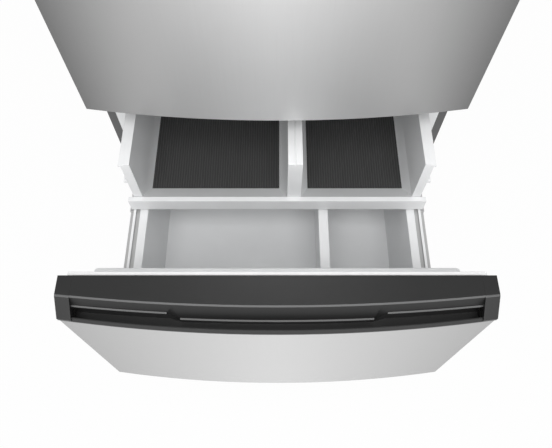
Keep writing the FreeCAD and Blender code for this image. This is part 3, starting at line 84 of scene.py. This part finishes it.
class Finish:
    # one material and the short ways to add nodes to it
    def __init__(self, name):
        self.material = bpy.data.materials.new(name)
        self.material.use_nodes = True
        self.tree = self.material.node_tree
        self.tree.nodes.clear()
        self.place = self.node("ShaderNodeTexCoord").outputs["Object"]

    def node(self, kind, settings=None, values=None):
        made = self.tree.nodes.new(kind)
        for key, value in (settings or {}).items():
            setattr(made, key, value)
        for key, value in (values or {}).items():
            socket = made.inputs[key]
            if isinstance(value, Number):
                value = value.socket
            if isinstance(value, bpy.types.NodeSocket):
                self.tree.links.new(value, socket)
            else:
                socket.default_value = value
        return made

    def axes(self):
        parts = self.node("ShaderNodeSeparateXYZ", {}, {"Vector": self.place})
        return [Number(self, parts.outputs[axis]) for axis in ("X", "Y", "Z")]

    def noise(self, scale, detail=2.0, vector=None):
        made = self.node("ShaderNodeTexNoise", {"noise_dimensions": "3D"},
                         {"Vector": vector or self.place, "Scale": scale, "Detail": detail})
        return Number(self, made.outputs["Fac"])

    def brushed(self, scales, detail=2.0):
        # noise that is drawn out along the axes with the small scales
        drawn = self.node("ShaderNodeMapping", {}, {"Vector": self.place, "Scale": scales})
        return self.noise(1.0, detail, drawn.outputs["Vector"])

    def cells(self, scale):
        made = self.node("ShaderNodeTexVoronoi", {"feature": "F1"},
                         {"Vector": self.place, "Scale": scale})
        return Number(self, made.outputs["Distance"])

    def edgeOn(self, blend):
        made = self.node("ShaderNodeLayerWeight", {}, {"Blend": blend})
        return Number(self, made.outputs["Facing"])

    def clamped(self, value, low, high):
        made = self.node("ShaderNodeMapRange", {"clamp": True},
                         {"Value": value, "From Min": low, "From Max": high})
        return Number(self, made.outputs["Result"])

    def around(self, middle, *patterns):
        # a value about the middle, which each pattern moves by its own spread
        total = middle - sum(spread for pattern, spread in patterns) / 2
        for pattern, spread in patterns:
            total = pattern * spread + total
        return total

    def between(self, factor, first, second):
        made = self.node("ShaderNodeMix", {"data_type": "RGBA"},
                         {0: factor, 6: first, 7: second})
        return made.outputs[2]

    def mottled(self, factor, tone, shares, tint=(1, 1, 1)):
        return self.between(factor, rgba(tone * shares[0], tint), rgba(tone * shares[1], tint))

    def grey(self, value):
        made = self.node("ShaderNodeCombineColor", {},
                         {"Red": value, "Green": value, "Blue": value})
        return made.outputs["Color"]

    def bump(self, height, bump):
        made = self.node("ShaderNodeBump", {}, {"Height": height, "Distance": bump["depth"],
                                                "Strength": bump["strength"]})
        return made.outputs["Normal"]

    def surface(self, **sockets):
        named = {key.replace("_", " "): value for key, value in sockets.items()}
        shader = self.node("ShaderNodeBsdfPrincipled", {}, named)
        out = self.node("ShaderNodeOutputMaterial")
        self.tree.links.new(shader.outputs[0], out.inputs["Surface"])
        return self.material


# materials: a spread is how far a pattern moves the roughness, shares are of the tone

whiteTint = (0.985, 0.993, 1.0)
blackTint = (1, 1.005, 1.01)
plain = (1, 1, 1)

doorLow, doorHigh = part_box("door_skin")
capLow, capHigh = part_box("drawer_cap")
gapInset = 0.001

# steel of the two fronts with a painted sheen: the colour is paler in the middle of each bow than
# towards its ends, a painted reflection of the light in front; the drawer's tones give way to the
# door's in the gap between the cap and the door
frontSteel = {
    "drawer": {"middle": 0.68, "fall": 0.26}, "door": {"middle": 0.97, "fall": 0.77},
    "gap": (capHigh.z + gapInset, doorLow.z - gapInset), "halfWidth": 0.42, "rounding": 0.003,
    "fine": (1500, 1500, 9), "fineDetail": 3, "fineShare": 0.75,
    "broad": (160, 160, 2), "broadDetail": 1, "broadShare": 0.25,
    "cloud": 2.2, "contrast": 0.07, "metallic": 0.75,
    "roughness": 0.44, "grainSpread": 0.08, "cloudSpread": 0.04,
    "bump": {"depth": 0.00001, "strength": 0.4},
}


def brushedSteel(name, look):
    finish = Finish(name)
    grain = (finish.brushed(look["fine"], look["fineDetail"]) * look["fineShare"]
             + finish.brushed(look["broad"], look["broadDetail"]) * look["broadShare"])
    cloud = finish.noise(look["cloud"])
    across, along, up = finish.axes()
    # painted sheen: the tone falls from the middle of each bow towards its ends, standing in for
    # the reflection there
    aside = (across * across + look["rounding"]) ** 0.5 / look["halfWidth"]
    upper = finish.clamped(up, *look["gap"])
    drawer, door = look["drawer"], look["door"]
    middle = upper * (door["middle"] - drawer["middle"]) + drawer["middle"]
    fall = upper * (door["fall"] - drawer["fall"]) + drawer["fall"]
    streaks = grain * look["contrast"] + (1 - look["contrast"] / 2)
    return finish.surface(
        Base_Color=finish.grey((middle - aside * fall) * streaks), Metallic=look["metallic"],
        Roughness=finish.around(look["roughness"], (cloud, look["cloudSpread"]),
                                (grain, look["grainSpread"])),
        Normal=finish.bump(grain, look["bump"]))


# what every moulded plastic has alike: a faint cloud in its colour and a fine grain
moulding = {"cloud": 6, "cloudDetail": 3, "cloudRange": (0.3, 0.7), "shares": (0.965, 1.02),
            "cloudSpread": 0.08, "grainSpread": 0.06, "coatRoughness": 0.22, "strength": 0.6}


def mouldedPlastic(name, look):
    finish = Finish(name)
    grain = finish.noise(1 / look["grain"])
    cloud = finish.noise(moulding["cloud"], moulding["cloudDetail"])
    patch = finish.clamped(cloud, *moulding["cloudRange"])
    return finish.surface(
        Base_Color=finish.mottled(patch, look["tone"], moulding["shares"], look["tint"]),
        Roughness=finish.around(look["roughness"], (grain, moulding["grainSpread"]),
                                (cloud, moulding["cloudSpread"])),
        Coat_Weight=look.get("coat", 0.0), Coat_Roughness=moulding["coatRoughness"],
        Normal=finish.bump(grain, {"depth": look["depth"], "strength": moulding["strength"]}))


# paint on sheet steel: a soft orange peel under a thin clear coat
paint = {"cloud": 4, "peelDetail": 1, "shares": (0.95, 1.05), "metallic": 0.15,
         "spread": 0.08, "coat": 0.25, "bump": {"depth": 0.00006, "strength": 0.5}}


def paintedSheet(name, look):
    finish = Finish(name)
    peel = finish.noise(1 / look["peel"], paint["peelDetail"])
    cloud = finish.noise(paint["cloud"])
    return finish.surface(
        Base_Color=finish.mottled(cloud, look["tone"], paint["shares"], look["tint"]),
        Metallic=paint["metallic"], Coat_Weight=paint["coat"],
        Roughness=finish.around(look["roughness"], (cloud, paint["spread"])),
        Normal=finish.bump(peel, paint["bump"]))


# zinc: spangles in the colour, rubbed along the slide's travel
zinc = {"spangle": 120, "range": (0.1, 0.8), "shares": (0.9, 1.06), "tint": (1, 1, 1.01),
        "rub": (90, 4, 90), "metallic": 0.9, "spread": 0.14,
        "bump": {"depth": 0.00003, "strength": 0.4}}


def zincSteel(name, look):
    finish = Finish(name)
    spangle = finish.clamped(finish.cells(zinc["spangle"]), *zinc["range"])
    rub = finish.brushed(zinc["rub"])
    return finish.surface(
        Base_Color=finish.mottled(spangle, look["tone"], zinc["shares"], zinc["tint"]),
        Metallic=zinc["metallic"],
        Roughness=finish.around(look["roughness"], (rub, zinc["spread"])),
        Normal=finish.bump(rub, zinc["bump"]))


# the drawer's slide member: a white carrier on top, its bare runner below the lip
carrier = {"tone": 0.84, "runnerTone": 0.50, "lip": 0.003, "edge": 0.0004,
           "rub": (300, 12, 300), "runnerMetallic": 0.35, "roughness": 0.37, "spread": 0.1,
           "bump": {"depth": 0.00002, "strength": 0.3}}


def carrierPaint(name, look):
    finish = Finish(name)
    across, along, up = finish.axes()
    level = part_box("slide_drawer")[1].z - look["lip"]
    above = finish.clamped(up, level - look["edge"], level + look["edge"])
    rub = finish.brushed(look["rub"])
    return finish.surface(
        Base_Color=finish.between(above, rgba(look["runnerTone"]), rgba(look["tone"], whiteTint)),
        Metallic=look["runnerMetallic"] - above * look["runnerMetallic"],
        Roughness=finish.around(look["roughness"], (rub, look["spread"])),
        Normal=finish.bump(rub, look["bump"]))


# clear drawers and bins, denser where the wall is seen edge on
clearWall = {"tint": (0.97, 1.0, 1.0), "tone": 1.0, "shares": (0.86, 0.92), "flow": 9,
             "blend": 0.35, "alpha": 0.22, "edgeAlpha": 0.9, "roughness": 0.10,
             "spread": 0.06, "specular": 0.6}


def clearPlastic(name, look):
    finish = Finish(name)
    flow = finish.noise(look["flow"])
    edge = finish.edgeOn(look["blend"])
    return finish.surface(
        Base_Color=finish.mottled(flow, look["tone"], look["shares"], look["tint"]),
        Roughness=finish.around(look["roughness"], (flow, look["spread"])),
        Alpha=edge * (look["edgeAlpha"] - look["alpha"]) + look["alpha"],
        Specular_IOR_Level=look["specular"])


# glass shelves, green and denser where they are seen edge on
pane = {"face": (0.82, 0.90, 0.87, 1), "rim": (0.42, 0.66, 0.58, 1), "blend": 0.3,
        "smear": 7, "smearDetail": 3, "alpha": 0.28, "edgeAlpha": 0.78,
        "roughness": 0.055, "spread": 0.05, "specular": 0.6}


def shelfGlass(name, look):
    finish = Finish(name)
    edge = finish.edgeOn(look["blend"])
    smear = finish.noise(look["smear"], look["smearDetail"])
    return finish.surface(
        Base_Color=finish.between(edge, look["face"], look["rim"]),
        Roughness=finish.around(look["roughness"], (smear, look["spread"])),
        Alpha=edge * (look["edgeAlpha"] - look["alpha"]) + look["alpha"],
        Specular_IOR_Level=look["specular"])


# seals: soft ribs in the height, a little dust in the colour
seal = {"tone": 0.92, "shares": (0.92, 1.06), "dust": 60, "dustDetail": 3, "ribs": 40,
        "waver": 0.3, "roughness": 0.56, "spread": 0.12,
        "bump": {"depth": 0.0001, "strength": 0.1}}


def rubberSeal(name, look):
    finish = Finish(name)
    ribs = finish.node("ShaderNodeTexWave", {"wave_type": "BANDS", "bands_direction": "Z"},
                       {"Vector": finish.place, "Scale": look["ribs"],
                        "Distortion": look["waver"]})
    dust = finish.noise(look["dust"], look["dustDetail"])
    return finish.surface(
        Base_Color=finish.mottled(dust, look["tone"], look["shares"]),
        Roughness=finish.around(look["roughness"], (dust, look["spread"])),
        Normal=finish.bump(Number(finish, ribs.outputs["Fac"]), look["bump"]))


# mats of the tray: fine ribs from back to front, the colour painted darker in the grooves between
# them and paler on the crests, painted shade and highlight
mat = {"tone": 0.045, "shares": (0.72, 1.2), "pitch": 0.0063, "flank": 0.6, "grain": 500,
       "grainShare": 0.1, "roughness": 0.575, "spread": 0.15,
       "bump": {"depth": 0.0009, "strength": 0.9}}


def ribbedMat(name, look):
    finish = Finish(name)
    across, along, up = finish.axes()
    wave = finish.node("ShaderNodeMath", {"operation": "SINE"},
                       {0: across * (2 * math.pi / look["pitch"])})
    # the rib also sets the colour: painted shade in the grooves, paler crests
    rib = finish.clamped(Number(finish, wave.outputs[0]), -look["flank"], look["flank"])
    grain = finish.noise(look["grain"])
    return finish.surface(
        Base_Color=finish.mottled(rib, look["tone"], look["shares"]),
        Roughness=finish.around(look["roughness"], (grain, look["spread"])),
        Normal=finish.bump(rib + grain * look["grainShare"], look["bump"]))


# foam: fine cells and broad swirls of a pale yellow
foam = {"pale": (0.87, 0.77, 0.52, 1), "dark": (0.80, 0.68, 0.42, 1), "cells": 420,
        "swirl": 14, "detail": 3, "roughness": 0.85, "spread": 0.1,
        "bump": {"depth": 0.0006, "strength": 0.7}}


def foamCore(name, look):
    finish = Finish(name)
    cells = finish.noise(look["cells"], look["detail"])
    swirl = finish.noise(look["swirl"], look["detail"])
    return finish.surface(
        Base_Color=finish.between(swirl, look["dark"], look["pale"]),
        Roughness=finish.around(look["roughness"], (cells, look["spread"])),
        Normal=finish.bump(cells, look["bump"]))


# coils: bare aluminium, streaked across the fins
coil = {"tone": 0.68, "shares": (0.85, 1.08), "streak": (40, 500, 500), "metallic": 0.95,
        "roughness": 0.375, "spread": 0.15, "bump": {"depth": 0.00008, "strength": 0.4}}


def finnedMetal(name, look):
    finish = Finish(name)
    streak = finish.brushed(look["streak"])
    return finish.surface(
        Base_Color=finish.mottled(streak, look["tone"], look["shares"]),
        Metallic=look["metallic"],
        Roughness=finish.around(look["roughness"], (streak, look["spread"])),
        Normal=finish.bump(streak, look["bump"]))


# compressor shell: thick black enamel with runs
enamel = {"tone": 0.02, "shares": (0.8, 1.2), "runs": 30, "roughness": 0.30, "spread": 0.1,
          "coat": 0.4, "bump": {"depth": 0.0003, "strength": 0.4}}


def blackEnamel(name, look):
    finish = Finish(name)
    runs = finish.noise(look["runs"])
    return finish.surface(
        Base_Color=finish.mottled(runs, look["tone"], look["shares"]),
        Coat_Weight=look["coat"],
        Roughness=finish.around(look["roughness"], (runs, look["spread"])),
        Normal=finish.bump(runs, look["bump"]))


# lamp lens: small dimples that spread the light, the colour a little darker at the bottom of each
# dimple, painted shade
lens = {"tone": 1.0, "shares": (0.86, 0.93), "dimples": 260, "roughness": 0.35,
        "spread": 0.1, "bump": {"depth": 0.0006, "strength": 0.5}}


def lampLens(name, look):
    finish = Finish(name)
    # the dimple also sets the colour: painted shade at the bottom of each dimple
    dimple = finish.cells(look["dimples"])
    return finish.surface(
        Base_Color=finish.mottled(dimple, look["tone"], look["shares"]),
        Roughness=finish.around(look["roughness"], (dimple, look["spread"])),
        Normal=finish.bump(dimple, look["bump"]))


plastics = {
    "dark_trim": ("darkTrim", {"tone": 0.009, "tint": blackTint, "roughness": 0.40,
                               "grain": 0.0011, "depth": 0.00001}),
    "liner_white": ("linerWhite", {"tone": 0.79, "tint": whiteTint, "roughness": 0.34,
                                   "grain": 0.004, "depth": 0.000008}),
    "tray_white": ("trayWhite", {"tone": 0.82, "tint": whiteTint, "roughness": 0.42,
                                 "grain": 0.0009, "depth": 0.00003}),
    "grille_black": ("grilleBlack", {"tone": 0.03, "tint": plain, "roughness": 0.5,
                                     "grain": 0.0012, "depth": 0.00005}),
    "roller_nylon": ("rollerNylon", {"tone": 0.62, "tint": (1, 0.985, 0.95),
                                     "roughness": 0.45, "grain": 0.004, "depth": 0.00006}),
    "fan_plastic": ("fanPlastic", {"tone": 0.16, "tint": (1, 1.01, 1.03), "roughness": 0.5,
                                   "grain": 0.0015, "depth": 0.00004}),
    "drain_plastic": ("drainPlastic", {"tone": 0.05, "tint": plain, "roughness": 0.5,
                                       "grain": 0.0015, "depth": 0.00004}),
}
paints = {
    "cabinet_paint": ("cabinetPaint", {"tone": 0.075, "tint": (1, 1.01, 1.02),
                                       "roughness": 0.42, "peel": 0.0022}),
    "hinge_paint": ("hingePaint", {"tone": 0.10, "tint": plain, "roughness": 0.4,
                                   "peel": 0.0016}),
    "frame_paint": ("framePaint", {"tone": 0.035, "tint": plain, "roughness": 0.5,
                                   "peel": 0.0016}),
}
zincs = {
    "back_steel": ("backSheet", {"tone": 0.42, "roughness": 0.42}),
    "slide_zinc": ("slideZinc", {"tone": 0.62, "roughness": 0.30}),
}

finishes = {
    "door_steel": brushedSteel("doorSteel", frontSteel),
    "slide_paint": carrierPaint("carrierPaint", carrier),
    "clear_plastic": clearPlastic("clearPlastic", clearWall),
    "shelf_glass": shelfGlass("shelfGlass", pane),
    "seal_white": rubberSeal("sealWhite", seal),
    "mat_grey": ribbedMat("matGrey", mat),
    "foam": foamCore("foamCore", foam),
    "coil_aluminium": finnedMetal("coilAluminium", coil),
    "compressor_black": blackEnamel("compressorBlack", enamel),
    "lens_white": lampLens("lampLens", lens),
}
for make, group in ((mouldedPlastic, plastics), (paintedSheet, paints), (zincSteel, zincs)):
    for slot, named in group.items():
        finishes[slot] = make(*named)

slotOf = {part["node"]: part["material_slot"] for part in frame["record"]["subparts"]}
for node, item in frame["nodes"].items():
    item.data.materials.clear()
    item.data.materials.append(finishes[slotOf[node]])

# the chamfered moulded edges of the cap and its end blocks are painted paler than the dark trim,
# a painted highlight where they catch the light
paintedEdgeHighlight = mouldedPlastic("paintedEdgeHighlight", {"tone": 0.075, "tint": blackTint, "roughness": 0.34,
                                           "grain": 0.002, "depth": 0.000005, "coat": 0.2})
for node in ("drawer_cap", "drawer_end_blocks"):
    frame["nodes"][node].data.materials.append(paintedEdgeHighlight)
print("materials assigned:", len(finishes) + 1)


# chamfered and softened edges: the loose triangles are welded and flat areas joined first

edging = {"weldReach": 0.00001, "flatAngle": 0.2, "segments": 2, "sharpAngle": 28}
edgeWidths = {
    "drawer_cap": 0.0014, "drawer_end_blocks": 0.0014, "tray_body": 0.0022,
    "tray_divider": 0.0025, "freezer_basket": 0.0011, "basket_divider": 0.0025,
    "door_caps": 0.0015, "drawer_bottom_cap": 0.0015, "slide_drawer": 0.0003,
    "slide_middle_left": 0.0003, "slide_middle_right": 0.0003, "slide_fixed": 0.0003,
    "drawer_liner": 0.001, "door_liner": 0.004, "crisper_left": 0.001,
    "crisper_right": 0.001, "pantry_drawer": 0.001, "door_bins": 0.001,
    "dairy_box": 0.001, "shelf_frames": 0.0012, "hinge_cover": 0.002,
    "control_housing": 0.003, "air_column": 0.003, "door_gasket": 0.003,
    "drawer_gasket": 0.003, "compressor": 0.003,
}

# edges of the cap that are chamfered more than the rest: each line has its depth under the cap's
# top, and how far behind the front of its bow it may stand; slot 1 is the paler painted edge
# highlight
capEdges = {
    "near": 0.0003,
    "ridge": {"width": 0.0023, "slot": 1, "bow": 0.022, "lines": ((0.0, 0.0720),)},
    "bead": {"width": 0.0026, "slot": 1, "bow": 0.022,
             "lines": ((0.0348, 0.0244), (0.0208, 0.0304))},
    "lip": {"width": 0.0048, "slot": 0, "bow": 0.028, "lines": ((0.0340, 0.0020),)},
}
halfWidth = doorHigh.x  # of the cabinet, and of every bow


def onCapLine(edge, place):
    back = place.y - capLow.y - edge["bow"] * (place.x / halfWidth) ** 2
    return any(abs(capHigh.z - place.z - depth) < capEdges["near"] and back < reach
               for depth, reach in edge["lines"])


def chamfer(item, name):
    edge = capEdges[name]
    group = item.vertex_groups.new(name=name)
    chosen = [point.index for point in item.data.vertices
              if onCapLine(edge, item.matrix_world @ point.co)]
    group.add(chosen, 1.0, "REPLACE")
    bevel = item.modifiers.new(name, "BEVEL")
    bevel.width = edge["width"]
    bevel.segments = 1  # one flat facet
    # slot 1 paints the facet paler, a painted highlight
    bevel.material = edge["slot"]
    bevel.mark_sharp = True
    bevel.limit_method = "VGROUP"
    bevel.vertex_group = name
    print(item.name, name, len(chosen), "points")


def soften(node, width, chamfers):
    item = frame["nodes"][node]
    weld = item.modifiers.new("weld", "WELD")
    weld.merge_threshold = edging["weldReach"]
    flat = item.modifiers.new("flatAreas", "DECIMATE")
    flat.decimate_type = "DISSOLVE"
    flat.angle_limit = math.radians(edging["flatAngle"])
    for name in chamfers:
        chamfer(item, name)
    bevel = item.modifiers.new("softEdge", "BEVEL")
    bevel.width = width
    bevel.segments = edging["segments"]
    bevel.limit_method = "ANGLE"
    bevel.angle_limit = math.radians(edging["sharpAngle"])
    bevel.use_clamp_overlap = True
    normals = item.modifiers.new("normals", "WEIGHTED_NORMAL")
    normals.keep_sharp = True
    for face in item.data.polygons:
        face.use_smooth = True


chamfersOf = {"drawer_cap": ("ridge", "bead", "lip"), "drawer_end_blocks": ("ridge",)}
for node, width in edgeWidths.items():
    soften(node, width, chamfersOf.get(node, ()))
print("edges softened:", len(edgeWidths))


# floor: matt and shadowed for the object, white for the camera and through glass; glossy
# rays see it white too, less so to the sides

floorLook = {"color": 0.6, "white": 0.97, "half": 8.0, "cells": 8, "poolFrom": 0.3,
             "poolTo": 1.1, "poolFall": 0.8}


def studioFloor(look):
    finish = Finish("studioFloor")
    path = finish.node("ShaderNodeLightPath")
    viewed, glossy, through = [Number(finish, path.outputs[name]) for name in
                               ("Is Camera Ray", "Is Glossy Ray", "Is Transmission Ray")]
    across, along, up = finish.axes()
    aside = finish.clamped(across * across, look["poolFrom"] ** 2, look["poolTo"] ** 2)
    pool = 1 - aside * look["poolFall"]
    seen = finish.clamped(viewed + through + glossy * pool, 0, 1)
    matt = finish.node("ShaderNodeBsdfDiffuse", {}, {"Color": rgba(look["color"])})
    glow = finish.node("ShaderNodeEmission", {}, {"Color": rgba(1.0), "Strength": 1.0})
    mixed = finish.node("ShaderNodeMixShader", {},
                        {0: seen * look["white"], 1: matt.outputs[0], 2: glow.outputs[0]})
    out = finish.node("ShaderNodeOutputMaterial")
    finish.tree.links.new(mixed.outputs[0], out.inputs["Surface"])
    shape = bmesh.new()
    bmesh.ops.create_grid(shape, x_segments=look["cells"], y_segments=look["cells"],
                          size=look["half"])
    mesh = bpy.data.meshes.new("studioFloor")
    shape.to_mesh(mesh)
    shape.free()
    mesh.materials.append(finish.material)
    floor = bpy.data.objects.new("studioFloor", mesh)
    scene.collection.objects.link(floor)


# lamps: a wide one in front for the two steel fronts, and one high up for all that faces
# upwards

lamps = {
    "frontSoftbox": {"place": (0.0, -5.2, 3.06), "aim": (0, -0.4, 0.5), "size": (7.6, 4.0),
                     "power": 143},
    "topSoftbox": {"place": (0.0, -2.54, 5.2), "aim": (0, -0.3, 0.4), "size": (3.84, 2.24),
                   "power": 148},
}


def softLamp(name, look):
    lamp = bpy.data.lights.new(name, "AREA")
    lamp.shape = "RECTANGLE"
    lamp.size, lamp.size_y = look["size"]
    lamp.energy = look["power"]
    holder = bpy.data.objects.new(name, lamp)
    holder.location = look["place"]
    facing = Vector(look["aim"]) - Vector(look["place"])
    holder.rotation_euler = facing.to_track_quat("-Z", "Y").to_euler()
    scene.collection.objects.link(holder)


# world: an even grey light, and white behind the object

worldLook = {"light": 0.62, "backdrop": 1.0}


def makeWorld(look):
    world = bpy.data.worlds.new("studio")
    scene.world = world
    world.use_nodes = True
    nodes, links = world.node_tree.nodes, world.node_tree.links
    nodes.clear()
    path = nodes.new("ShaderNodeLightPath")
    mixed = nodes.new("ShaderNodeMixShader")
    out = nodes.new("ShaderNodeOutputWorld")
    links.new(path.outputs["Is Camera Ray"], mixed.inputs[0])
    for socket, strength in ((1, look["light"]), (2, look["backdrop"])):
        background = nodes.new("ShaderNodeBackground")
        background.inputs["Color"].default_value = rgba(1.0)
        background.inputs["Strength"].default_value = strength
        links.new(background.outputs[0], mixed.inputs[socket])
    links.new(mixed.outputs[0], out.inputs["Surface"])


studioFloor(floorLook)
makeWorld(worldLook)
for name, look in lamps.items():
    softLamp(name, look)
print("floor, world and lamps ready")


# camera at the photograph's place, in front of the door and looking steeply down: its tilt
# is in degrees, its focal length and the middle of its view in pixels of the frame's size

photoView = {"place": (0.0, -0.9306, 1.6355), "down": 60.99, "focal": 584.38,
             "middle": (277.2, 184.0), "size": (552, 448), "sensor": 36, "nearest": 0.02}


def makeCamera(view):
    camera = bpy.data.cameras.new("photoCamera")
    width, height = view["size"]
    camera.sensor_fit = "HORIZONTAL"
    camera.sensor_width = view["sensor"]
    camera.lens = view["focal"] * camera.sensor_width / width
    camera.shift_x = (width / 2 - view["middle"][0]) / width
    camera.shift_y = (view["middle"][1] - height / 2) / width
    camera.clip_start = view["nearest"]
    holder = bpy.data.objects.new("photoCamera", camera)
    holder.location = view["place"]
    holder.rotation_euler = (math.radians(90 - view["down"]), 0, 0)
    scene.collection.objects.link(holder)
    scene.camera = holder


makeCamera(photoView)
scene.view_settings.view_transform = "Standard"

print("scene ready")
